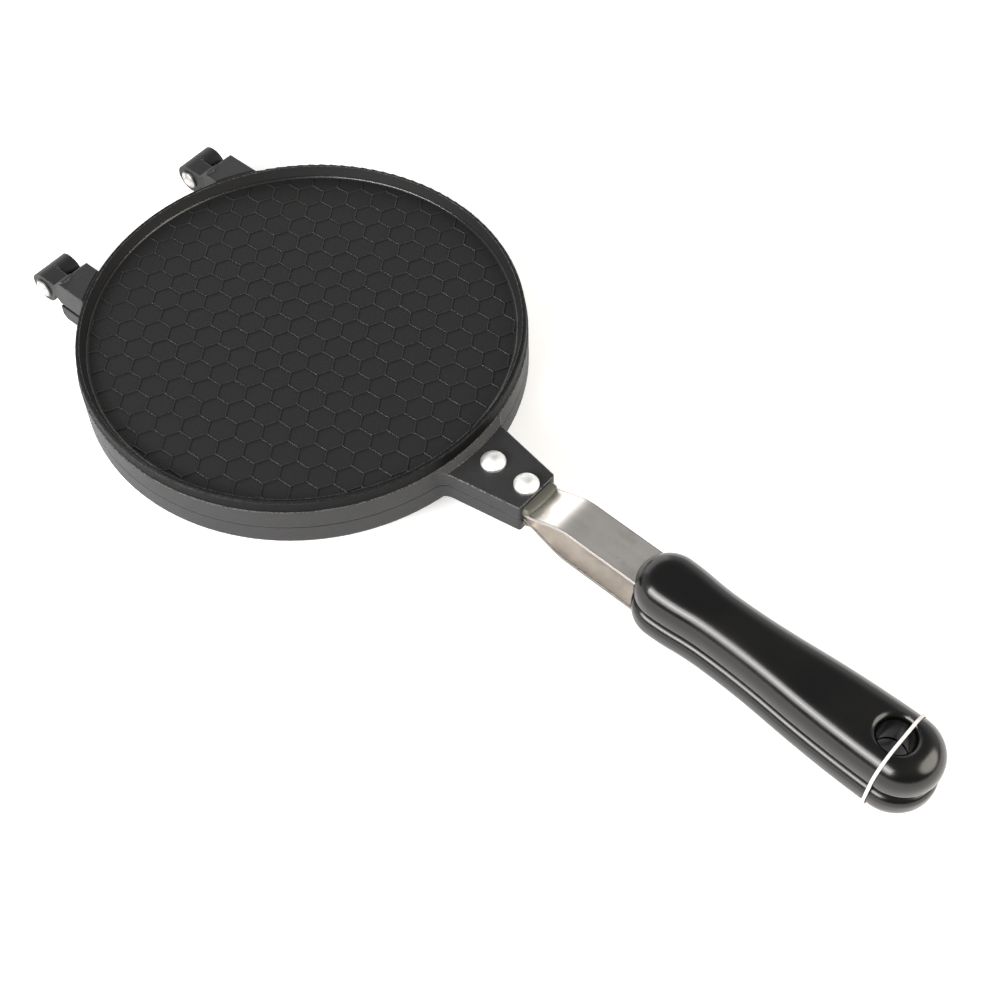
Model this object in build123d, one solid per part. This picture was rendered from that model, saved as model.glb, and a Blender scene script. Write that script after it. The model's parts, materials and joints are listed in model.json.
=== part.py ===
from build123d import *
import os
from math import atan, cos, degrees, hypot, radians, sin, sqrt

os.makedirs("parts", exist_ok=True)

# Frame: X runs from the hinges to the handle, Z is up, and the origin is the
# middle of the lower plate's foot ring. All sizes are in millimetres.

# Plates
plate_radius = 90.0
lower_thickness = 9.55
upper_thickness = 14.7
parting_gap = 0.3
foot_round = 1.6

# Rim of the upper plate, set back from a narrow shoulder
shoulder_height = 8.95
shoulder_width = 0.4
rim_draft = 0.3
rim_round = 1.0

# Recesses in the outer faces
rim_width = 1.6
recess_draft = 2.0
recess_depth = 4.85
recess_floor_round = 0.8
foot_ring_width = 6.0
foot_recess_depth = 3.8

# Cooking cavity between the plates
cavity_rim = 10.0
cavity_draft = 1.0
upper_cavity_depth = 3.4
lower_cavity_depth = 1.5

# Honeycomb of fine raised lines
cell_pitch = 10.5
cell_line = 0.5
cell_height = 0.3
cell_turn = 33.7
cell_shift_x = -0.9
cell_shift_y = 0.9
cell_border = 0.2
cell_margin = 0.6
cell_root = 0.2

# Tabs that carry the straps
tab_reach = 32.3
tab_wall = 1.6
tab_taper = 0.165
tab_end_round = 1.2
tab_web_round = 6.0
tab_thickness = 6.75
tab_blend = 2.0
lip_reach = 4.0
lip_bulge = 0.9
lip_side = 0.2
lip_top_drop = 1.9
lip_overlap = 4.0
lip_round = 1.4
lip_corner_round = 2.0

# Straps
strap_width = 17.0
strap_thickness = 1.5
strap_inset = 4.5
strap_flat_reach = 2.2
strap_slope_length = 15.5
strap_bend_radius = 18.0
strap_side_gap = 0.1
strap_parting_gap = 0.65

# Handle, which falls away from the level of the plates
handle_drop = 0.61
handle_fall = 0.055

# Grips, with their walls measured from the sides of the straps
grip_gap = 1.4
grip_height = 15.8
grip_reach = 31.55
grip_length = 128.9
grip_waist_at = 36.55
grip_nose_share = 0.5
grip_swell_share = 0.4
grip_nose_wall = 4.7
grip_waist_wall = 3.3
grip_tail_wall = 6.9
grip_outer_round = 10.0
grip_inner_round = 4.2

# Hanging hole
hole_from_tail = 19.2
hole_radius = 6.8
hole_flare = 3.2
hole_to_strap = 19.0

# Rivets through the tabs
rivet_inner_reach = 10.6
rivet_outer_inset = 5.3
rivet_head_radius = 4.9
rivet_head_rim = 1.0
rivet_head_height = 3.0
rivet_shank_radius = 2.5
rivet_tail_radius = 3.8
rivet_tail_height = 0.5

# Hinges
hinge_reach = 11.5
hinge_rise = 4.6
hinge_offset_y = 41.0
hinge_width = 15.5
knuckle_radius = 6.5
knuckle_side_gap = 0.3
pin_radius = 2.5
pin_running_gap = 0.05
pin_head_radius = 4.3
pin_head_height = 1.8
lug_root_depth = 28.0
lug_slot = 1.75
upper_lug_gap = 1.0
upper_lug_drop = 0.55
upper_lug_chamfer = 2.2
slope_run = 3.8
slope_rise = 4.0
rib_rise = 0.55
rib_reach = 1.6
rib_end_round = 3.4
lower_lug_reach = 2.6
lower_lug_chamfer = 2.0
lower_arm_angle = 25.0

# Tie round both grips
tie_from_hole = 2.7
tie_width = 1.2
tie_thickness = 0.6
tie_gap = 0.3

# Extra length of the tools that cut right through
cut_margin = 1.0

# Levels
parting_z = lower_thickness + parting_gap / 2
upper_bottom_z = lower_thickness + parting_gap
upper_top_z = upper_bottom_z + upper_thickness
tab_top = parting_gap / 2 + tab_thickness
strap_middle = parting_gap / 2 + strap_parting_gap + strap_thickness / 2
hinge_z = parting_z + hinge_rise

# Places along X
cavity_radius = plate_radius - cavity_rim
tab_end_x = plate_radius + tab_reach
strap_start_x = plate_radius + strap_inset
strap_flat_x = tab_end_x + strap_flat_reach
strap_bend_x = strap_flat_x + strap_slope_length
rivet_places = (plate_radius + rivet_inner_reach, tab_end_x - rivet_outer_inset)
hinge_x = -(plate_radius + hinge_reach)
lug_root_x = -(plate_radius - lug_root_depth)

# Handle, whose own X starts at the outer bend of the straps
handle_frame = Location((strap_bend_x, 0, parting_z - handle_drop), (0, degrees(atan(handle_fall)), 0))
grip_spacing = grip_gap + grip_height
grip_tail = grip_reach + grip_length
hole_place = grip_tail - hole_from_tail
tie_place = hole_place + tie_from_hole
strap_length = hole_place - hole_to_strap
grip_tail_half = strap_width / 2 + grip_tail_wall


def at_parting(height):
    return parting_z + height


def flipped(shape):
    return mirror(shape, about=Plane.XY.offset(parting_z))


def dome(radius, height, plane):
    ball = (radius ** 2 + height ** 2) / (2 * height)
    slab = Cylinder(2 * radius, height, align=(Align.CENTER, Align.CENTER, Align.MIN))
    return plane * (Pos(0, 0, height - ball) * Sphere(ball) & slab)


def side_profile(points, middle_y, width):
    outline = Plane.XZ * make_face(Polyline(points, close=True))
    return Pos(0, middle_y, 0) * extrude(outline, width / 2, both=True)


def frustum(bottom_radius, top_radius, bottom_z, height):
    solid = Cone(bottom_radius, top_radius, height, align=(Align.CENTER, Align.CENTER, Align.MIN))
    return Pos(0, 0, bottom_z) * solid


def honeycomb(radius):
    turn = radians(cell_turn)
    reach = int(2 * radius / cell_pitch) + 2
    hexagon = RegularPolygon((cell_pitch - cell_line) / sqrt(3), 6, rotation=cell_turn + 30)
    cells = []
    for row in range(-reach, reach + 1):
        for column in range(-reach, reach + 1):
            u = cell_pitch * (column + row / 2)
            v = cell_pitch * row * sqrt(3) / 2
            x = u * cos(turn) - v * sin(turn) + cell_shift_x
            y = u * sin(turn) + v * cos(turn) + cell_shift_y
            if hypot(x, y) < radius + cell_margin * cell_pitch:
                cells.append(Pos(x, y) * hexagon)
    return Circle(radius) - cells


def raised_lines(floor_radius, floor_z):
    lines = extrude(honeycomb(floor_radius - cell_border), cell_height + cell_root)
    return Pos(0, 0, floor_z - cell_root) * lines


# Straps, with the channel that each tab has for its strap

def strap_line(side):
    start = at_parting(side * strap_middle)
    bend_z = parting_z - handle_drop + side * grip_spacing / 2
    run = strap_length / hypot(1, handle_fall)
    points = [
        (strap_start_x, 0, start),
        (strap_flat_x, 0, start),
        (strap_bend_x, 0, bend_z),
        (strap_bend_x + run, 0, bend_z - run * handle_fall),
    ]
    return FilletPolyline(points, radius=strap_bend_radius)


def swept_band(side, width, thickness, outward):
    start = Vector(strap_start_x, 0, at_parting(side * strap_middle) + outward)
    section = Plane(origin=start, x_dir=(0, 1, 0), z_dir=(1, 0, 0)) * Rectangle(width, thickness)
    return sweep(section, path=strap_line(side))


def rivet_holes():
    length = 2 * (tab_top + cut_margin)
    return [Pos(x, 0, parting_z) * Cylinder(rivet_shank_radius, length) for x in rivet_places]


def make_strap(side):
    return swept_band(side, strap_width, strap_thickness, 0) - rivet_holes()


def strap_channel(side):
    extra = 2 * (strap_parting_gap + parting_gap)
    width = strap_width + 2 * strap_side_gap
    return swept_band(side, width, strap_thickness + extra, -side * extra / 2)


# Tabs

def tab_outline():
    end_half = strap_width / 2 + strap_side_gap + tab_wall
    back_half = end_half + tab_taper * (tab_end_x - cavity_radius)
    tab = make_face(Polyline([
        (cavity_radius, -back_half),
        (tab_end_x, -end_half),
        (tab_end_x, end_half),
        (cavity_radius, back_half),
    ], close=True))
    outline = Circle(plate_radius) + tab
    corners = [v for v in outline.vertices() if abs(v.X - tab_end_x) < 0.01]
    outline = fillet(corners, tab_end_round)
    roots = [v for v in outline.vertices()
             if v.X > cavity_radius and abs(hypot(v.X, v.Y) - plate_radius) < 0.01]
    return fillet(roots, tab_web_round)


def lip():
    end = tab_end_x + lip_reach
    side = end - lip_bulge
    back = tab_end_x - lip_overlap
    half = strap_width / 2 + lip_side
    nose = ThreePointArc((side, -half), (end, 0), (side, half))
    rest = Polyline([(side, half), (back, half), (back, -half), (side, -half)])
    seat = strap_parting_gap + strap_thickness
    height = tab_thickness - lip_top_drop - seat
    bar = Pos(0, 0, upper_bottom_z + seat) * extrude(make_face([nose, rest]), height)
    bar = fillet(bar.edges().filter_by(Axis.Z).sort_by(Axis.X)[-2:], lip_corner_round)
    top = bar.faces().sort_by(Axis.Z)[-1]
    return fillet(top.edges().sort_by(Axis.X)[1:], lip_round)


def tab(side):
    solid = Pos(0, 0, upper_bottom_z) * extrude(tab_outline(), tab_thickness)
    solid += lip()
    if side < 0:
        solid = flipped(solid)
    return solid - strap_channel(side) - rivet_holes()


def make_rivet(x):
    seat = at_parting(tab_top)
    strap_face = at_parting(strap_middle - strap_thickness / 2)
    length = seat - strap_face
    low = (Align.CENTER, Align.CENTER, Align.MIN)
    high = (Align.CENTER, Align.CENTER, Align.MAX)
    head = Pos(x, 0, seat) * Cylinder(rivet_head_radius, rivet_head_rim, align=low)
    head += dome(rivet_head_radius, rivet_head_height, Plane(origin=(x, 0, seat + rivet_head_rim)))
    shank = Pos(x, 0, strap_face) * Cylinder(rivet_shank_radius, length, align=low)
    tail = Pos(x, 0, strap_face) * Cylinder(rivet_tail_radius, rivet_tail_height, align=high)
    return head + shank + tail


# Hinges

def knuckle_span(middle_y, side):
    inner = middle_y + side * knuckle_side_gap / 2
    outer = middle_y + side * hinge_width / 2
    return (inner + outer) / 2, abs(outer - inner)


def barrel(radius, middle_y, length):
    return Pos(hinge_x, middle_y, hinge_z) * Rot(90, 0, 0) * Cylinder(radius, length)


def upper_rib(nose_x, top, middle_y, width):
    bottom = upper_bottom_z + lug_slot + upper_lug_chamfer
    level = hinge_z + knuckle_radius
    crest_x = nose_x + slope_run
    climb = slope_run * (top + rib_rise - level) / slope_rise
    rib = side_profile([
        (hinge_x, bottom),
        (crest_x + rib_reach, bottom),
        (crest_x + rib_reach, top + rib_rise),
        (crest_x, top + rib_rise),
        (crest_x - climb, level),
        (hinge_x, level),
    ], middle_y, width)
    ends = rib.edges().filter_by(Axis.Z).group_by(Axis.X)[-1]
    return fillet(ends, rib_end_round)


def upper_lug(middle_y):
    nose_x = hinge_x + knuckle_radius + upper_lug_gap
    bottom = upper_bottom_z + lug_slot
    top = upper_top_z - upper_lug_drop
    block = side_profile([
        (lug_root_x, bottom),
        (nose_x + upper_lug_chamfer, bottom),
        (nose_x, bottom + upper_lug_chamfer),
        (nose_x, top - slope_rise),
        (nose_x + slope_run, top),
        (lug_root_x, top),
    ], middle_y, hinge_width)
    y, width = knuckle_span(middle_y, -1)
    return block + upper_rib(nose_x, top, y, width) + barrel(knuckle_radius, y, width)


def lower_lug(middle_y):
    end_x = -(plate_radius + lower_lug_reach)
    bottom = at_parting(-tab_top)
    block = side_profile([
        (lug_root_x, lower_thickness),
        (end_x, lower_thickness),
        (end_x, bottom + lower_lug_chamfer),
        (end_x + lower_lug_chamfer, bottom),
        (lug_root_x, bottom),
    ], middle_y, hinge_width)
    y, width = knuckle_span(middle_y, 1)
    turn = radians(lower_arm_angle)
    reach = knuckle_radius * sqrt(0.5)
    arm = side_profile([
        (end_x, lower_thickness),
        (hinge_x + knuckle_radius * cos(turn), hinge_z - knuckle_radius * sin(turn)),
        (hinge_x - reach, hinge_z - reach),
        (end_x, bottom + lower_lug_chamfer),
    ], y, width)
    return block + arm + barrel(knuckle_radius, y, width)


def make_hinge_pin(middle_y):
    near = middle_y - hinge_width / 2 - knuckle_side_gap
    far = middle_y + hinge_width / 2
    shank = barrel(pin_radius, (near + far) / 2, far - near)
    near_head = Plane(origin=(hinge_x, near, hinge_z), z_dir=(0, -1, 0))
    far_head = Plane(origin=(hinge_x, far, hinge_z), z_dir=(0, 1, 0))
    shank += dome(pin_head_radius, pin_head_height, near_head)
    return shank + dome(pin_head_radius, pin_head_height, far_head)


# Plates

def disc(radius, bottom_z, thickness):
    return Pos(0, 0, bottom_z + thickness / 2) * Cylinder(radius, thickness)


def rim_ring(radius):
    bottom = upper_bottom_z + shoulder_height
    ring = frustum(radius + rim_draft, radius, bottom, upper_thickness - shoulder_height)
    return fillet(ring.edges().sort_by(Axis.Z)[-1], rim_round)


def tab_root():
    seat = at_parting(tab_top)
    wedge = frustum(plate_radius + tab_blend, plate_radius, seat, tab_blend)
    return wedge & Pos(0, 0, seat) * extrude(tab_outline(), tab_blend)


def make_upper_plate():
    rim_radius = plate_radius - shoulder_width - rim_draft
    plate = disc(plate_radius, upper_bottom_z, shoulder_height)
    plate += rim_ring(rim_radius)
    plate += tab(1) + tab_root()
    for middle_y in (-hinge_offset_y, hinge_offset_y):
        y, width = knuckle_span(middle_y, -1)
        plate += upper_lug(middle_y)
        plate -= barrel(pin_radius + pin_running_gap, y, width + cut_margin)
    recess_radius = rim_radius - rim_width
    floor_z = upper_top_z - recess_depth
    recess = frustum(recess_radius - recess_draft, recess_radius, floor_z, recess_depth)
    plate -= fillet(recess.edges().sort_by(Axis.Z)[0], recess_floor_round)
    plate -= frustum(cavity_radius, cavity_radius - cavity_draft, upper_bottom_z, upper_cavity_depth)
    return plate + raised_lines(recess_radius - recess_draft - recess_floor_round, floor_z)


def make_lower_plate():
    plate = disc(plate_radius, 0, lower_thickness)
    plate = fillet(plate.edges().sort_by(Axis.Z)[0], foot_round)
    plate += tab(-1)
    for middle_y in (-hinge_offset_y, hinge_offset_y):
        y, width = knuckle_span(middle_y, 1)
        plate += lower_lug(middle_y)
        plate -= barrel(pin_radius, y, width + cut_margin)
    foot_radius = plate_radius - foot_ring_width
    plate -= frustum(foot_radius, foot_radius - recess_draft, 0, foot_recess_depth)
    floor_z = lower_thickness - lower_cavity_depth
    return plate - frustum(cavity_radius - cavity_draft, cavity_radius, floor_z, lower_cavity_depth)


# Grips and tie

def swelling_side(start, end, share):
    middle = tuple(a + share * (b - a) for a, b in zip(start, end))
    first = TangentArc(start, middle, tangent=(1, 0))
    return [first, TangentArc(middle, end, tangent=first % 1)]


def grip_outline():
    nose_half = strap_width / 2 + grip_nose_wall
    nose = grip_reach + nose_half
    tail = grip_tail - grip_tail_half
    waist = (grip_reach + grip_waist_at, strap_width / 2 + grip_waist_wall)
    edges = swelling_side((nose, nose_half), waist, grip_nose_share)
    edges += swelling_side(waist, (tail, grip_tail_half), grip_swell_share)
    edges += [mirror(edge, about=Plane.XZ) for edge in edges]
    edges.append(ThreePointArc((nose, -nose_half), (grip_reach, 0), (nose, nose_half)))
    edges.append(ThreePointArc((tail, grip_tail_half), (grip_tail, 0), (tail, -grip_tail_half)))
    return make_face(edges)


def hole_cutter(outer_z):
    flat = outer_z - hole_flare
    rim = hole_radius + hole_flare
    flare = RadiusArc((hole_radius, flat), (rim, outer_z), hole_flare)
    rest = Polyline([
        (rim, outer_z),
        (rim, outer_z + cut_margin),
        (0, outer_z + cut_margin),
        (0, -cut_margin),
        (hole_radius, -cut_margin),
        (hole_radius, flat),
    ])
    return Pos(hole_place, 0, 0) * revolve(Plane.XZ * make_face([flare, rest]), Axis.Z)


def make_grip(side, strap):
    grip = Pos(0, 0, grip_gap / 2) * extrude(grip_outline(), grip_height)
    outer = grip.faces().sort_by(Axis.Z)[-1].edges()
    grip = fillet(outer, grip_outer_round)
    inner = grip.faces().sort_by(Axis.Z)[0].edges()
    grip = fillet(inner, grip_inner_round)
    grip -= hole_cutter(grip_gap / 2 + grip_height)
    if side < 0:
        grip = mirror(grip, about=Plane.XY)
    return handle_frame * grip - strap


def make_tie():
    width = 2 * (grip_tail_half + tie_gap)
    height = 2 * (grip_spacing / 2 + grip_height / 2 + tie_gap)
    inner_round = grip_outer_round + tie_gap
    outside = RectangleRounded(width + 2 * tie_thickness, height + 2 * tie_thickness,
                               inner_round + tie_thickness)
    loop = outside - RectangleRounded(width, height, inner_round)
    across = Plane(origin=(tie_place, 0, 0), x_dir=(0, 1, 0), z_dir=(1, 0, 0))
    return handle_frame * extrude(across * loop, tie_width / 2, both=True)


upper_strap = make_strap(1)
lower_strap = make_strap(-1)
parts = {
    "upper_plate": make_upper_plate(),
    "lower_plate": make_lower_plate(),
    "upper_strap": upper_strap,
    "lower_strap": lower_strap,
    "upper_rivet_inner": make_rivet(rivet_places[0]),
    "upper_rivet_outer": make_rivet(rivet_places[1]),
    "lower_rivet_inner": flipped(make_rivet(rivet_places[0])),
    "lower_rivet_outer": flipped(make_rivet(rivet_places[1])),
    "hinge_pin_left": make_hinge_pin(hinge_offset_y),
    "hinge_pin_right": make_hinge_pin(-hinge_offset_y),
    "upper_grip": make_grip(1, upper_strap),
    "lower_grip": make_grip(-1, lower_strap),
    "tie": make_tie(),
}

for name, shape in parts.items():
    export_step(shape, f"parts/{name}.step")
    size = shape.bounding_box().size
    print(name, len(shape.solids()), round(shape.volume, 1), [round(v, 1) for v in size])
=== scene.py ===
import bpy
import bmesh
import json
from math import atan, atan2, cos, pi, radians, sin, sqrt
from mathutils import Matrix, Vector


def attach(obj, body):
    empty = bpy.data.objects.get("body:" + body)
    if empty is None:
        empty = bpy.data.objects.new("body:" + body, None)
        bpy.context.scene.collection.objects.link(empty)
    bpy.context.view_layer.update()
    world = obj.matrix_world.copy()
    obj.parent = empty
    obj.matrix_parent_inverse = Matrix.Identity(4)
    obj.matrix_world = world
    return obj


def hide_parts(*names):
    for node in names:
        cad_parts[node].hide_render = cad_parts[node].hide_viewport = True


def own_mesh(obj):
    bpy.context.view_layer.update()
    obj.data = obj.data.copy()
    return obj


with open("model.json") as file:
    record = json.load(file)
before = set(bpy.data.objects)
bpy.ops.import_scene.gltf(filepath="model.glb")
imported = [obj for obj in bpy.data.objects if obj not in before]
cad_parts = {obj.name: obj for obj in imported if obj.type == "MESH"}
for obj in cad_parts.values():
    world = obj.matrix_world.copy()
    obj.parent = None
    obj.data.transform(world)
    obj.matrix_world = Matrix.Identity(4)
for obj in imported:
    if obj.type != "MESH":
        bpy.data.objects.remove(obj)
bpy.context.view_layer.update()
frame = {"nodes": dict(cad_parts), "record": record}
cadNodes = frame["nodes"]
print("frame loaded:", len(cadNodes), "nodes")


# Camera, floor and light

view = {
    "sensor": 36.0,
    "lens": 66.825,
    "nearest": 0.01,
    "farthest": 20.0,
    "place": (0.390165, -0.313277, 0.573871),
    "look": (-0.39954, 0.43630, -0.80623),
    "right": (0.75643, 0.65374, -0.02109),
}


def makeCamera():
    camData = bpy.data.cameras.new("photoCamera")
    camData.sensor_width = view["sensor"]
    camData.lens = view["lens"]
    camData.clip_start = view["nearest"]
    camData.clip_end = view["farthest"]
    cam = bpy.data.objects.new("photoCamera", camData)
    bpy.context.scene.collection.objects.link(cam)
    back = -Vector(view["look"]).normalized()
    right = Vector(view["right"]).normalized()
    up = back.cross(right).normalized()
    right = up.cross(back)
    turn = Matrix((right, up, back)).transposed()
    cam.matrix_world = Matrix.Translation(view["place"]) @ turn.to_4x4()
    bpy.context.scene.camera = cam


def addNode(tree, kind, **values):
    node = tree.nodes.new(kind)
    for name, value in values.items():
        if hasattr(node, name):
            setattr(node, name, value)
        else:
            node.inputs[name.replace("_", " ")].default_value = value
    return node


def wire(tree, *pairs):
    for out, into in pairs:
        tree.links.new(out, into)


def mapRange(tree, value, low, high, toLow, toHigh, smooth=False):
    node = addNode(tree, "ShaderNodeMapRange", From_Min=low, From_Max=high, To_Min=toLow, To_Max=toHigh)
    if smooth:
        node.interpolation_type = "SMOOTHSTEP"
    tree.links.new(value, node.inputs["Value"])
    return node.outputs["Result"]


def mathNode(tree, operation, first, second):
    node = addNode(tree, "ShaderNodeMath", operation=operation)
    for socket, value in zip(node.inputs, (first, second)):
        if isinstance(value, (int, float)):
            socket.default_value = value
        else:
            tree.links.new(value, socket)
    return node.outputs[0]


floorStage = {
    "restFar": (-0.0884, 0.0),       # where the plate's far edge touches, x and z
    "restNear": (0.2827, -0.01625),  # where the tie under the grips touches
    "size": 9.0,
    "colour": (0.93, 0.93, 0.93),
    "lift": 0.40,                    # extra white that only the camera and reflections see
}


def makeFloor():
    x0, z0 = floorStage["restFar"]
    x1, z1 = floorStage["restNear"]
    tilt = atan2(z0 - z1, x1 - x0)  # the pan rests on its far edge and its grip end
    bpy.ops.mesh.primitive_plane_add(size=floorStage["size"], rotation=(0, tilt, 0),
                                     location=((x0 + x1) / 2, 0, (z0 + z1) / 2))
    floor = bpy.context.object
    floor.name = "floor"
    mat = bpy.data.materials.new("floorWhite")
    mat.use_nodes = True
    tree = mat.node_tree
    tree.nodes.clear()
    out = addNode(tree, "ShaderNodeOutputMaterial")
    paper = addNode(tree, "ShaderNodeBsdfDiffuse", Color=(*floorStage["colour"], 1))
    glow = addNode(tree, "ShaderNodeEmission", Strength=floorStage["lift"])
    none = addNode(tree, "ShaderNodeEmission", Strength=0.0)
    ray = addNode(tree, "ShaderNodeLightPath")
    seen = mathNode(tree, "MAXIMUM", ray.outputs["Is Camera Ray"], ray.outputs["Is Glossy Ray"])
    pick = addNode(tree, "ShaderNodeMixShader")
    both = addNode(tree, "ShaderNodeAddShader")
    wire(tree,
         (seen, pick.inputs[0]),
         (none.outputs[0], pick.inputs[1]),
         (glow.outputs[0], pick.inputs[2]),
         (paper.outputs[0], both.inputs[0]),
         (pick.outputs[0], both.inputs[1]),
         (both.outputs[0], out.inputs[0]))
    floor.data.materials.append(mat)


studio = {
    "brightSide": (-0.82, 0.57, 0.0),  # the side on which the low wall is white
    "wallTurn": (-0.3, 0.4),           # the wall goes from dark to white between these
    "wallDark": 0.12,
    "wallBright": 0.95,
    "ceilingFrom": (0.2, 0.75),        # the wall gives way to the ceiling between these heights
    "overhead": 0.30,
    "aim": (0.12, 0.0, 0.0),
}

lamps = {
    "key": {
        "shape": "RECTANGLE", "size": (1.20, 0.60), "place": (-0.05, -1.02, 0.66),
        "power": 20.5, "colour": (1.0, 0.985, 0.96),
    },
    "core": {
        "shape": "RECTANGLE", "size": (1.20, 0.12), "place": (-0.04, -0.97, 0.63),
        "power": 6.0, "colour": (1.0, 0.99, 0.98),
    },
    "strap": {
        "shape": "RECTANGLE", "size": (1.10, 0.70), "place": (-0.80, 0.48, 0.32),
        "power": 2.5, "colour": (1.0, 0.97, 0.93),
    },
    "tail": {
        "shape": "ELLIPSE", "size": (1.15, 0.95), "place": (1.20, 0.45, 0.60),
        "power": 15.5, "colour": (1.0, 0.94, 0.85),
    },
}


def makeWalls():
    world = bpy.data.worlds.new("studio")
    bpy.context.scene.world = world
    world.use_nodes = True
    tree = world.node_tree
    tree.nodes.clear()
    out = addNode(tree, "ShaderNodeOutputWorld")
    sky = addNode(tree, "ShaderNodeBackground", Strength=1.0)
    white = addNode(tree, "ShaderNodeBackground", Strength=1.0)
    where = addNode(tree, "ShaderNodeTexCoord")
    split = addNode(tree, "ShaderNodeSeparateXYZ")
    facing = addNode(tree, "ShaderNodeVectorMath", operation="DOT_PRODUCT")
    facing.inputs[1].default_value = studio["brightSide"]
    ray = addNode(tree, "ShaderNodeLightPath")
    mix = addNode(tree, "ShaderNodeMixShader")
    wire(tree,
         (where.outputs["Generated"], split.inputs[0]),
         (where.outputs["Generated"], facing.inputs[0]))
    wall = mapRange(tree, facing.outputs["Value"], *studio["wallTurn"],
                    studio["wallDark"], studio["wallBright"], True)
    height = mapRange(tree, split.outputs["Z"], *studio["ceilingFrom"], 0.0, 1.0, True)
    fromTop = mathNode(tree, "MULTIPLY", height, studio["overhead"])
    fromWall = mathNode(tree, "MULTIPLY", mathNode(tree, "SUBTRACT", 1.0, height), wall)
    wire(tree,
         (mathNode(tree, "ADD", fromTop, fromWall), sky.inputs["Color"]),
         (ray.outputs["Is Camera Ray"], mix.inputs[0]),
         (sky.outputs[0], mix.inputs[1]),
         (white.outputs[0], mix.inputs[2]),
         (mix.outputs[0], out.inputs[0]))


def makeLamp(name, values):
    data = bpy.data.lights.new(name + "Softbox", "AREA")
    data.shape = values["shape"]
    data.size, data.size_y = values["size"]
    data.energy = values["power"]
    data.color = values["colour"]
    lamp = bpy.data.objects.new(name + "Softbox", data)
    bpy.context.scene.collection.objects.link(lamp)
    lamp.location = values["place"]
    aim = Vector(studio["aim"]) - lamp.location
    lamp.rotation_euler = aim.to_track_quat("-Z", "Y").to_euler()
    lamp.visible_camera = False


makeCamera()
makeFloor()
makeWalls()
for name, values in lamps.items():
    makeLamp(name, values)
bpy.context.scene.view_settings.view_transform = "Standard"
print("camera, floor and lights ready")


# Shader groups that several finishes share

bevelSamples = 4

wornHighlitEdge = {
    "turn": (0.995, 0.90),  # cosines of the edge's turn at which the wear and painted highlight start and are complete
    "spots": (0.42, 0.60),
}


def newGroup(name, inputs, outputs):
    tree = bpy.data.node_groups.new(name, "ShaderNodeTree")
    for label, value in inputs:
        tree.interface.new_socket(label, in_out="INPUT", socket_type="NodeSocketFloat").default_value = value
    for label in outputs:
        tree.interface.new_socket(label, in_out="OUTPUT", socket_type="NodeSocketFloat")
    return tree, addNode(tree, "NodeGroupInput"), addNode(tree, "NodeGroupOutput")


def makeGrainGroup():
    tree, inlet, outlet = newGroup("surfaceGrain", [("Fine Scale", 1500.0), ("Patch Scale", 25.0)],
                                   ["Height", "Patch"])
    where = addNode(tree, "ShaderNodeTexCoord")
    fine = addNode(tree, "ShaderNodeTexNoise", Detail=3.0, Roughness=0.6)
    patch = addNode(tree, "ShaderNodeTexNoise", Detail=4.0, Roughness=0.55)
    wire(tree,
         (where.outputs["Object"], fine.inputs["Vector"]),
         (where.outputs["Object"], patch.inputs["Vector"]),
         (inlet.outputs["Fine Scale"], fine.inputs["Scale"]),
         (inlet.outputs["Patch Scale"], patch.inputs["Scale"]),
         (fine.outputs[0], outlet.inputs["Height"]),
         (patch.outputs[0], outlet.inputs["Patch"]))
    return tree


# mask for the lightened cast edges: partly real wear, partly painted highlight
def makeWearHighlightGroup():
    tree, inlet, outlet = newGroup("edgeWearAndHighlight", [("Width", 0.0005), ("Patch Scale", 180.0)], ["Mask"])
    where = addNode(tree, "ShaderNodeTexCoord")
    rounded = addNode(tree, "ShaderNodeBevel", samples=bevelSamples)
    flat = addNode(tree, "ShaderNodeNewGeometry")
    dot = addNode(tree, "ShaderNodeVectorMath", operation="DOT_PRODUCT")
    patch = addNode(tree, "ShaderNodeTexNoise", Detail=4.0, Roughness=0.6)
    wire(tree,
         (inlet.outputs["Width"], rounded.inputs["Radius"]),
         (rounded.outputs[0], dot.inputs[0]),
         (flat.outputs["Normal"], dot.inputs[1]),
         (where.outputs["Object"], patch.inputs["Vector"]),
         (inlet.outputs["Patch Scale"], patch.inputs["Scale"]))
    edge = mapRange(tree, dot.outputs["Value"], *wornHighlitEdge["turn"], 0.0, 1.0)
    spots = mapRange(tree, patch.outputs[0], *wornHighlitEdge["spots"], 0.0, 1.0)
    wire(tree, (mathNode(tree, "MULTIPLY", edge, spots), outlet.inputs["Mask"]))
    return tree


grainGroup = makeGrainGroup()
wearHighlightGroup = makeWearHighlightGroup()


def useGroup(tree, group, **values):
    node = tree.nodes.new("ShaderNodeGroup")
    node.node_tree = group
    for name, value in values.items():
        node.inputs[name.replace("_", " ")].default_value = value
    return node


def useGrain(tree, finish):
    return useGroup(tree, grainGroup, Fine_Scale=finish["fineScale"], Patch_Scale=finish["patchScale"])


def newMaterial(name):
    mat = bpy.data.materials.new(name)
    mat.use_nodes = True
    tree = mat.node_tree
    return mat, tree, tree.nodes["Principled BSDF"]


def mixColour(tree, mask, first, second):
    mix = addNode(tree, "ShaderNodeMix", data_type="RGBA")
    tree.links.new(mask, mix.inputs["Factor"])
    for socket, value in ((mix.inputs[6], first), (mix.inputs[7], second)):
        if isinstance(value, tuple):
            socket.default_value = (*value, 1)
        else:
            tree.links.new(value, socket)
    return mix.outputs[2]


def mixValue(tree, mask, first, second):
    mix = addNode(tree, "ShaderNodeMix", data_type="FLOAT")
    tree.links.new(mask, mix.inputs[0])
    for socket, value in ((mix.inputs[2], first), (mix.inputs[3], second)):
        if isinstance(value, (int, float)):
            socket.default_value = value
        else:
            tree.links.new(value, socket)
    return mix.outputs[0]


def above(tree, value, low):
    return mathNode(tree, "GREATER_THAN", value, low)


def below(tree, value, high):
    return mathNode(tree, "LESS_THAN", value, high)


def allOf(tree, first, *others):
    product = first
    for mask in others:
        product = mathNode(tree, "MULTIPLY", product, mask)
    return product


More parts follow.
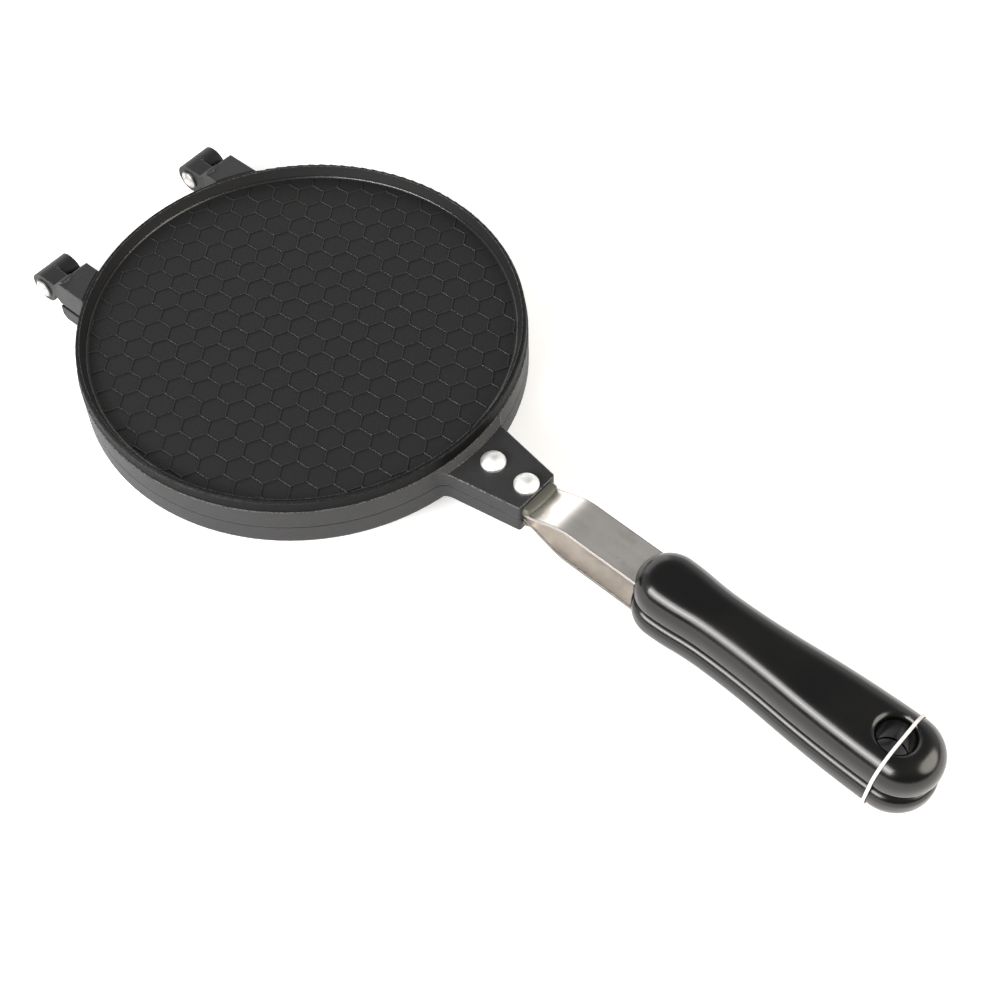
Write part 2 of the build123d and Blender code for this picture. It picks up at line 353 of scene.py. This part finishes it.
def lengthAlong(tree, vector, axes):
    # the vector's length, counting only the axes that hold 1
    flat = addNode(tree, "ShaderNodeVectorMath", operation="MULTIPLY")
    flat.inputs[1].default_value = axes
    length = addNode(tree, "ShaderNodeVectorMath", operation="LENGTH")
    wire(tree, (vector, flat.inputs[0]), (flat.outputs[0], length.inputs[0]))
    return length.outputs["Value"]


def roundedBump(tree, shader, height, finish, edge=None):
    # edge, a number or a socket, is how round the light makes the edges look
    bump = addNode(tree, "ShaderNodeBump", Strength=finish["bump"], Distance=finish["bumpDepth"])
    tree.links.new(height, bump.inputs["Height"])
    if edge is not None:
        rounded = addNode(tree, "ShaderNodeBevel", samples=bevelSamples)
        if isinstance(edge, float):
            rounded.inputs["Radius"].default_value = edge
        else:
            tree.links.new(edge, rounded.inputs["Radius"])
        tree.links.new(rounded.outputs[0], bump.inputs["Normal"])
    tree.links.new(bump.outputs[0], shader.inputs["Normal"])


# Cast plates: charcoal coating with edges lightened partly by real wear and partly by painted highlight, a
# darker recess and a glossier lip

casting = {
    "dark": (0.0150, 0.0150, 0.0158),
    "light": (0.0270, 0.0270, 0.0282),
    "recess": (0.0075, 0.0075, 0.0080),
    "line": (0.0560, 0.0560, 0.0560),
    "rim": (0.0180, 0.0180, 0.0185),
    "hinge": (0.0100, 0.0100, 0.0105),
    # colour of the lightened edges: partly real wear, partly painted highlight
    "wornAndHighlit": (0.34, 0.34, 0.34),
    "lip": (0.098, 0.098, 0.080),
    "fineScale": 1300.0,
    "patchScale": 32.0,
    "mottle": (0.35, 0.65),            # the noise between these turns the dark tone to the light one
    "mottleShare": 0.5,                # patches and fine grain count the same
    "roughSpread": (0.3, 0.7),
    "rough": (0.42, 0.54),
    "recessRough": 0.62,
    "lineRough": 0.15,
    "lineMetal": 0.80,                 # the coating is thin on the honeycomb's lines
    "lipRough": 0.24,
    "gloss": 0.31,
    "bump": 0.80,
    "bumpDepth": 0.00014,
    "wearHighlightWidth": 0.0008,
    "wearHighlightPatch": 1500.0,
    "wornHighlitAbove": 0.0148,               # edges under this height get little of the wear and painted highlight
    "wornHighlitFade": 0.001,
    "wornHighlitBelow": 0.08,                 # the share of wear and painted highlight that is left on them
    "tabStart": 0.0900,                # from here to the tip the tab's edges get more wear and painted highlight
    "tabFade": 0.004,
    "plateWearHighlight": 0.40,
    "tabWearHighlight": 1.0,
    "darkAbove": 0.01895,              # the recess and the rim round it are darker
    "darkRadius": 0.0901,
    "lineLevels": (0.01985, 0.0203),   # heights between which the honeycomb's tops lie
    "lineRadius": 0.0848,
    "footRadius": 0.0862,              # the rounded foot of the recess's wall ends here
    "footLevel": 0.0207,
    "rimStart": 0.0878,
    "hingeStart": -0.0912,
    "lipStart": 0.12235,
    "edgeSoft": 0.0009,                # how round the light makes the cast edges look
    "lineSoft": 0.00035,
}


def makeCastingFinish():
    mat, tree, shader = newMaterial("charcoalCoating")
    grain = useGrain(tree, casting)
    wearHighlight = useGroup(tree, wearHighlightGroup, Width=casting["wearHighlightWidth"], Patch_Scale=casting["wearHighlightPatch"])
    where = addNode(tree, "ShaderNodeTexCoord").outputs["Object"]
    split = addNode(tree, "ShaderNodeSeparateXYZ")
    tree.links.new(where, split.inputs[0])
    along, level = split.outputs["X"], split.outputs["Z"]
    radius = lengthAlong(tree, where, (1, 1, 0))

    recess = allOf(tree, below(tree, radius, casting["darkRadius"]), above(tree, level, casting["darkAbove"]))
    withinLines = below(tree, radius, casting["lineRadius"])
    low, high = casting["lineLevels"]
    tops = allOf(tree, withinLines, above(tree, level, low), below(tree, level, high))
    foot = allOf(tree, above(tree, radius, casting["lineRadius"]), below(tree, radius, casting["footRadius"]),
                 recess, below(tree, level, casting["footLevel"]))
    line = mathNode(tree, "MAXIMUM", tops, foot)
    rim = allOf(tree, recess, above(tree, radius, casting["rimStart"]))
    hinge = below(tree, along, casting["hingeStart"])
    lip = above(tree, along, casting["lipStart"])

    offFace = mapRange(tree, allOf(tree, withinLines, recess), 0.0, 1.0, 1.0, 0.0)
    upper = mapRange(tree, level, casting["wornHighlitAbove"], casting["wornHighlitAbove"] + casting["wornHighlitFade"],
                     casting["wornHighlitBelow"], 1.0)
    towardsTip = mapRange(tree, along, casting["tabStart"], casting["tabStart"] + casting["tabFade"],
                          casting["plateWearHighlight"], casting["tabWearHighlight"])
    # lightened upper cast edges: partly real wear, partly painted highlight
    wornAndHighlit = allOf(tree, wearHighlight.outputs["Mask"], upper, offFace, towardsTip)

    share = casting["mottleShare"]
    patch = mathNode(tree, "ADD", mapRange(tree, grain.outputs["Patch"], *casting["mottle"], 0.0, share),
                     mapRange(tree, grain.outputs["Height"], *casting["mottle"], 0.0, share))
    colour = mixColour(tree, patch, casting["dark"], casting["light"])
    layers = {"hinge": hinge, "recess": recess, "rim": rim, "line": line, "lip": lip, "wornAndHighlit": wornAndHighlit}
    for name, mask in layers.items():
        colour = mixColour(tree, mask, colour, casting[name])
    rough = mapRange(tree, grain.outputs["Patch"], *casting["roughSpread"], *casting["rough"])
    for name, mask in {"recessRough": recess, "lineRough": line, "lipRough": lip}.items():
        rough = mixValue(tree, mask, rough, casting[name])
    metal = mathNode(tree, "MAXIMUM", rim, mathNode(tree, "MULTIPLY", line, casting["lineMetal"]))
    wire(tree,
         (colour, shader.inputs["Base Color"]),
         (rough, shader.inputs["Roughness"]),
         (metal, shader.inputs["Metallic"]))
    shader.inputs["Specular IOR Level"].default_value = casting["gloss"]
    soft = mixValue(tree, recess, casting["edgeSoft"], casting["lineSoft"])
    roundedBump(tree, shader, grain.outputs["Height"], casting, soft)
    return mat


# Straps: polished steel, heat-tinted in patches, with painted shade along their edges and the lower strap
# painted darker as shade under the upper one

strapGrain = {
    "stretch": (5.0, 90.0, 90.0),  # brushed along the handle
    "brushScale": 6.0,
    "brushSpread": (0.35, 0.65),
    "stainScale": 70.0,
    "stainSpread": (0.58, 0.74),
    "stainMost": 0.4,
    "fineScale": 900.0,
    "patchScale": 45.0,
    "patchSpread": (0.35, 0.65),
    "edgeShadeFrom": (0.0080, 0.0083),  # half widths between which the strap's edge takes painted shade
    # how dark the painted edge shade is, as a share of the dull colour
    "edgeShadeFactor": 0.55,
    "bump": 0.02,
    "bumpDepth": 0.0001,
    "edgeSoft": 0.0004,
}

upperStrapMetal = {
    "bright": (0.92, 0.89, 0.85),
    "dull": (0.80, 0.76, 0.72),
    "tint": (0.52, 0.44, 0.36),
    "rough": (0.27, 0.33),
}

# the same steel painted darker, as shade under the upper strap
shadedLowerStrapMetal = {
    "bright": (0.63, 0.59, 0.555),
    "dull": (0.37, 0.345, 0.32),
    "tint": (0.36, 0.31, 0.27),
    "rough": (0.16, 0.22),
}


def makeStrapFinish(name, metal):
    mat, tree, shader = newMaterial(name)
    shader.inputs["Metallic"].default_value = 1.0
    where = addNode(tree, "ShaderNodeTexCoord").outputs["Object"]
    stretch = addNode(tree, "ShaderNodeMapping")
    stretch.inputs["Scale"].default_value = strapGrain["stretch"]
    brush = addNode(tree, "ShaderNodeTexNoise", Scale=strapGrain["brushScale"], Detail=5.0, Roughness=0.7)
    stain = addNode(tree, "ShaderNodeTexNoise", Scale=strapGrain["stainScale"], Detail=3.0, Roughness=0.5)
    split = addNode(tree, "ShaderNodeSeparateXYZ")
    grain = useGrain(tree, strapGrain)
    wire(tree,
         (where, stretch.inputs[0]),
         (where, stain.inputs["Vector"]),
         (where, split.inputs[0]),
         (stretch.outputs[0], brush.inputs["Vector"]))
    patch = mapRange(tree, grain.outputs["Patch"], *strapGrain["patchSpread"], 0.0, 1.0)
    stained = mapRange(tree, stain.outputs[0], *strapGrain["stainSpread"], 0.0, strapGrain["stainMost"], True)
    across = mathNode(tree, "ABSOLUTE", split.outputs["Y"], 0.0)
    # painted shade along both edges of the strap
    edgeShade = mapRange(tree, across, *strapGrain["edgeShadeFrom"], 0.0, 1.0)
    edgeShadeColour = tuple(part * strapGrain["edgeShadeFactor"] for part in metal["dull"])
    colour = mixColour(tree, patch, metal["bright"], metal["dull"])
    colour = mixColour(tree, stained, colour, metal["tint"])
    colour = mixColour(tree, edgeShade, colour, edgeShadeColour)
    rough = mapRange(tree, brush.outputs[0], *strapGrain["brushSpread"], *metal["rough"])
    wire(tree, (colour, shader.inputs["Base Color"]), (rough, shader.inputs["Roughness"]))
    roundedBump(tree, shader, brush.outputs[0], strapGrain, strapGrain["edgeSoft"])
    return mat


# Rivets: bright aluminium with soft hammer marks

rivetMetal = {
    "bright": (0.96, 0.96, 0.95),
    "dull": (0.84, 0.84, 0.84),
    "fineScale": 1400.0,
    "patchScale": 420.0,
    "patchSpread": (0.4, 0.7),
    "roughSpread": (0.35, 0.65),
    "rough": (0.48, 0.62),
    "bump": 0.22,
    "bumpDepth": 0.0003,
}


def makeRivetFinish():
    mat, tree, shader = newMaterial("rivetAluminium")
    shader.inputs["Metallic"].default_value = 1.0
    grain = useGrain(tree, rivetMetal)
    patch = mapRange(tree, grain.outputs["Patch"], *rivetMetal["patchSpread"], 0.0, 1.0)
    colour = mixColour(tree, patch, rivetMetal["bright"], rivetMetal["dull"])
    rough = mapRange(tree, grain.outputs["Patch"], *rivetMetal["roughSpread"], *rivetMetal["rough"])
    wire(tree, (colour, shader.inputs["Base Color"]), (rough, shader.inputs["Roughness"]))
    roundedBump(tree, shader, grain.outputs["Patch"], rivetMetal)
    return mat


# Hinge pins: duller aluminium, with coating left round the edge of each head

pinMetal = {
    "axis": (-0.1015, 0.0, 0.0143),
    "bright": (0.72, 0.70, 0.69),
    "dull": (0.40, 0.39, 0.38),
    "coat": (0.012, 0.012, 0.012),
    "bareTo": (0.00355, 0.00385),  # radii between which the bare metal gives way to the coating
    "fineScale": 1400.0,
    "patchScale": 300.0,
    "patchSpread": (0.4, 0.62),
    "rough": 0.36,
    "bump": 0.3,
    "bumpDepth": 0.0004,
}


def makePinFinish():
    mat, tree, shader = newMaterial("pinAluminium")
    grain = useGrain(tree, pinMetal)
    where = addNode(tree, "ShaderNodeTexCoord")
    centred = addNode(tree, "ShaderNodeVectorMath", operation="SUBTRACT")
    centred.inputs[1].default_value = pinMetal["axis"]
    tree.links.new(where.outputs["Object"], centred.inputs[0])
    radius = lengthAlong(tree, centred.outputs[0], (1, 0, 1))
    bare = mapRange(tree, radius, *pinMetal["bareTo"], 1.0, 0.0)
    patch = mapRange(tree, grain.outputs["Patch"], *pinMetal["patchSpread"], 0.0, 1.0)
    colour = mixColour(tree, patch, pinMetal["bright"], pinMetal["dull"])
    colour = mixColour(tree, bare, pinMetal["coat"], colour)
    wire(tree, (colour, shader.inputs["Base Color"]), (bare, shader.inputs["Metallic"]))
    shader.inputs["Roughness"].default_value = pinMetal["rough"]
    roundedBump(tree, shader, grain.outputs["Patch"], pinMetal)
    return mat


# Grips: glossy black plastic with slight ripples

gripPlastic = {
    "black": (0.0015, 0.0015, 0.0014),
    "soft": (0.0035, 0.0033, 0.0028),
    "fineScale": 700.0,
    "patchScale": 38.0,
    "patchSpread": (0.4, 0.65),
    "roughSpread": (0.35, 0.65),
    "rough": (0.18, 0.24),
    "gloss": 0.51,
    "bump": 0.05,
    "bumpDepth": 0.0004,
}


def makeGripFinish():
    mat, tree, shader = newMaterial("glossBlackGrip")
    shader.inputs["Specular IOR Level"].default_value = gripPlastic["gloss"]
    grain = useGrain(tree, gripPlastic)
    patch = mapRange(tree, grain.outputs["Patch"], *gripPlastic["patchSpread"], 0.0, 1.0)
    colour = mixColour(tree, patch, gripPlastic["black"], gripPlastic["soft"])
    rough = mapRange(tree, grain.outputs["Patch"], *gripPlastic["roughSpread"], *gripPlastic["rough"])
    wire(tree, (colour, shader.inputs["Base Color"]), (rough, shader.inputs["Roughness"]))
    roundedBump(tree, shader, grain.outputs["Patch"], gripPlastic)
    return mat


# Tie: matte white plastic

tieWhite = {
    "white": (0.75, 0.73, 0.72),
    "shade": (0.60, 0.575, 0.56),
    "fineScale": 1200.0,
    "patchScale": 500.0,
    "patchSpread": (0.4, 0.7),
    "rough": 0.55,
    "bump": 0.3,
    "bumpDepth": 0.0002,
}


def makeTieFinish():
    mat, tree, shader = newMaterial("whiteTie")
    grain = useGrain(tree, tieWhite)
    patch = mapRange(tree, grain.outputs["Patch"], *tieWhite["patchSpread"], 0.0, 1.0)
    wire(tree, (mixColour(tree, patch, tieWhite["white"], tieWhite["shade"]), shader.inputs["Base Color"]))
    shader.inputs["Roughness"].default_value = tieWhite["rough"]
    roundedBump(tree, shader, grain.outputs["Height"], tieWhite)
    return mat


finishes = {
    "coated_casting": makeCastingFinish(),
    "strap_metal": makeStrapFinish("polishedStrap", upperStrapMetal),
    "rivet_metal": makeRivetFinish(),
    "grip_plastic": makeGripFinish(),
    "tie_plastic": makeTieFinish(),
}

ownFinishes = {
    # the lower strap gets the steel painted darker as shade
    "lower_strap": makeStrapFinish("lowerStrapPaintedShade", shadedLowerStrapMetal),
    "hinge_pin_left": makePinFinish(),
}
ownFinishes["hinge_pin_right"] = ownFinishes["hinge_pin_left"]

for part in frame["record"]["subparts"]:
    meshData = cadNodes[part["node"]].data
    meshData.materials.clear()
    meshData.materials.append(ownFinishes.get(part["node"], finishes[part["material_slot"]]))
print("finishes on the CAD nodes")


# New pieces

meshEnd = {
    "joinWithin": 0.000002,
    "smoothUnder": 32,  # degrees between faces
}


def pickParts(piece, kind, wanted):
    mesh = bmesh.from_edit_mesh(piece.data)
    bpy.ops.mesh.select_all(action="DESELECT")
    for item in getattr(mesh, kind):
        if wanted(item):
            item.select_set(True)
    bmesh.update_edit_mesh(piece.data)


def useModifier(piece, kind, **values):
    modifier = piece.modifiers.new(kind.lower(), kind)
    for name, value in values.items():
        setattr(modifier, name, value)
    bpy.ops.object.modifier_apply(modifier=modifier.name)


def finishPiece(piece, name, body, slotName):
    bpy.ops.object.transform_apply(location=True, rotation=True, scale=True)
    bpy.ops.object.mode_set(mode="EDIT")
    bpy.ops.mesh.select_all(action="SELECT")
    bpy.ops.mesh.remove_doubles(threshold=meshEnd["joinWithin"])
    bpy.ops.mesh.normals_make_consistent(inside=False)
    bpy.ops.object.mode_set(mode="OBJECT")
    bpy.ops.object.shade_smooth_by_angle(angle=radians(meshEnd["smoothUnder"]))
    piece.name = piece.data.name = name
    piece.data.materials.clear()
    piece.data.materials.append(finishes[slotName])
    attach(piece, body)


# Honeycombs of fine raised lines on the faces that the photo doesn't show

cells = {
    "pitch": 0.0105,
    "line": 0.0005,
    "rise": 0.0003,
    "sink": 0.00005,        # how far the lines go into the casting
    "turn": 33.7,
    "shift": (-0.0009, 0.0009),
    "spare": 3,             # cells in a row beyond those that span the face
    "joinShare": 0.01,      # corners closer than this share of the pitch become one
    "edgeCuts": 48,         # straight cuts that trim the pattern to a circle
}

cellFaces = {
    "upperCookingCells": {"body": "upper", "radius": 0.0785, "level": 0.01325, "side": -1},
    "lowerCookingCells": {"body": "lower", "radius": 0.0785, "level": 0.00805, "side": 1},
    "undersideCells": {"body": "lower", "radius": 0.0812, "level": 0.00380, "side": -1},
}


def makeCells(name, face):
    bpy.ops.object.select_all(action="DESELECT")
    pitch = cells["pitch"]
    rowGap = pitch * cos(radians(30))
    count = int(2 * face["radius"] / rowGap) + cells["spare"]
    bpy.ops.mesh.primitive_circle_add(vertices=6, radius=pitch / sqrt(3), fill_type="NGON")
    piece = bpy.context.object
    steps = (Vector((pitch, 0, 0)), Vector((pitch / 2, pitch * sqrt(3) / 2, 0)))
    for step in steps:
        useModifier(piece, "ARRAY", use_relative_offset=False, use_constant_offset=True,
                    constant_offset_displace=step, count=count)
    bpy.ops.object.mode_set(mode="EDIT")
    bpy.ops.mesh.select_all(action="SELECT")
    bpy.ops.mesh.remove_doubles(threshold=pitch * cells["joinShare"])
    bpy.ops.mesh.inset(thickness=cells["line"] / 2, depth=0, use_individual=True)
    bpy.ops.mesh.delete(type="FACE")
    bpy.ops.object.mode_set(mode="OBJECT")
    turn = Matrix.Rotation(radians(cells["turn"]), 3, "Z")
    middle = turn @ ((steps[0] + steps[1]) * (count // 2))
    start = face["level"] - face["side"] * cells["sink"]
    piece.rotation_euler = (0, 0, radians(cells["turn"]))
    piece.location = (cells["shift"][0] - middle.x, cells["shift"][1] - middle.y, start)
    bpy.ops.object.transform_apply(location=True, rotation=True, scale=True)
    bpy.ops.object.mode_set(mode="EDIT")
    for cut in range(cells["edgeCuts"]):
        angle = 2 * pi * cut / cells["edgeCuts"]
        outward = (cos(angle), sin(angle), 0)
        bpy.ops.mesh.select_all(action="SELECT")
        bpy.ops.mesh.bisect(plane_co=(outward[0] * face["radius"], outward[1] * face["radius"], start),
                            plane_no=outward, clear_outer=True)
    bpy.ops.mesh.select_all(action="SELECT")
    rise = face["side"] * (cells["sink"] + cells["rise"])
    bpy.ops.mesh.extrude_region_move(TRANSFORM_OT_translate={"value": (0, 0, rise)})
    bpy.ops.object.mode_set(mode="OBJECT")
    finishPiece(piece, name, face["body"], "coated_casting")


for name, face in cellFaces.items():
    makeCells(name, face)
print("honeycombs ready")


# Tie round both grips, in the handle's own frame

handle = {"start": (0.140, 0.0, 0.00909), "fall": 0.055}

tie = {
    "place": 0.14335,    # along the handle, at the middle of the tie's height
    "lean": 0.020,       # how far it leans towards the tail at the top, in radians
    "width": 0.0012,
    "acrossMiddle": 0.0320,
    "highMiddle": 0.0342,
    "corner": 0.0106,
    "cornerSteps": 10,
    "thickness": 0.0006,
    "edgeRound": 0.00012,
    "edgeSteps": 2,
    "endFacing": 0.9,    # faces that look this much along the handle are the open ends
    "openKeep": 0.5,     # its share of height when the pan is open
}


def makeTie():
    bpy.ops.object.select_all(action="DESELECT")
    fall = atan(handle["fall"])
    turn = Matrix.Translation(handle["start"]) @ Matrix.Rotation(fall, 4, "Y")
    bpy.ops.mesh.primitive_cube_add(size=1)
    piece = bpy.context.object
    piece.scale = (tie["width"], tie["acrossMiddle"], tie["highMiddle"])
    bpy.ops.object.transform_apply(location=False, rotation=False, scale=True)
    bpy.ops.object.mode_set(mode="EDIT")
    pickParts(piece, "edges", lambda e: abs(e.verts[0].co.x - e.verts[1].co.x) > tie["width"] / 2)
    bpy.ops.mesh.bevel(offset=tie["corner"], segments=tie["cornerSteps"], affect="EDGES", clamp_overlap=False)
    pickParts(piece, "faces", lambda f: abs(f.normal.x) > tie["endFacing"])
    bpy.ops.mesh.delete(type="FACE")
    bpy.ops.mesh.select_all(action="SELECT")
    bpy.ops.mesh.normals_make_consistent(inside=False)
    bpy.ops.object.mode_set(mode="OBJECT")
    useModifier(piece, "SOLIDIFY", thickness=tie["thickness"], offset=0)
    useModifier(piece, "BEVEL", width=tie["edgeRound"], segments=tie["edgeSteps"], limit_method="ANGLE")
    piece.location = turn @ Vector((tie["place"], 0, 0))
    piece.rotation_euler = (0, fall + tie["lean"], 0)
    finishPiece(piece, "whiteTieLoop", "lower", "tie_plastic")
    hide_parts("tie")
    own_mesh(piece)


makeTie()
print("tie ready")
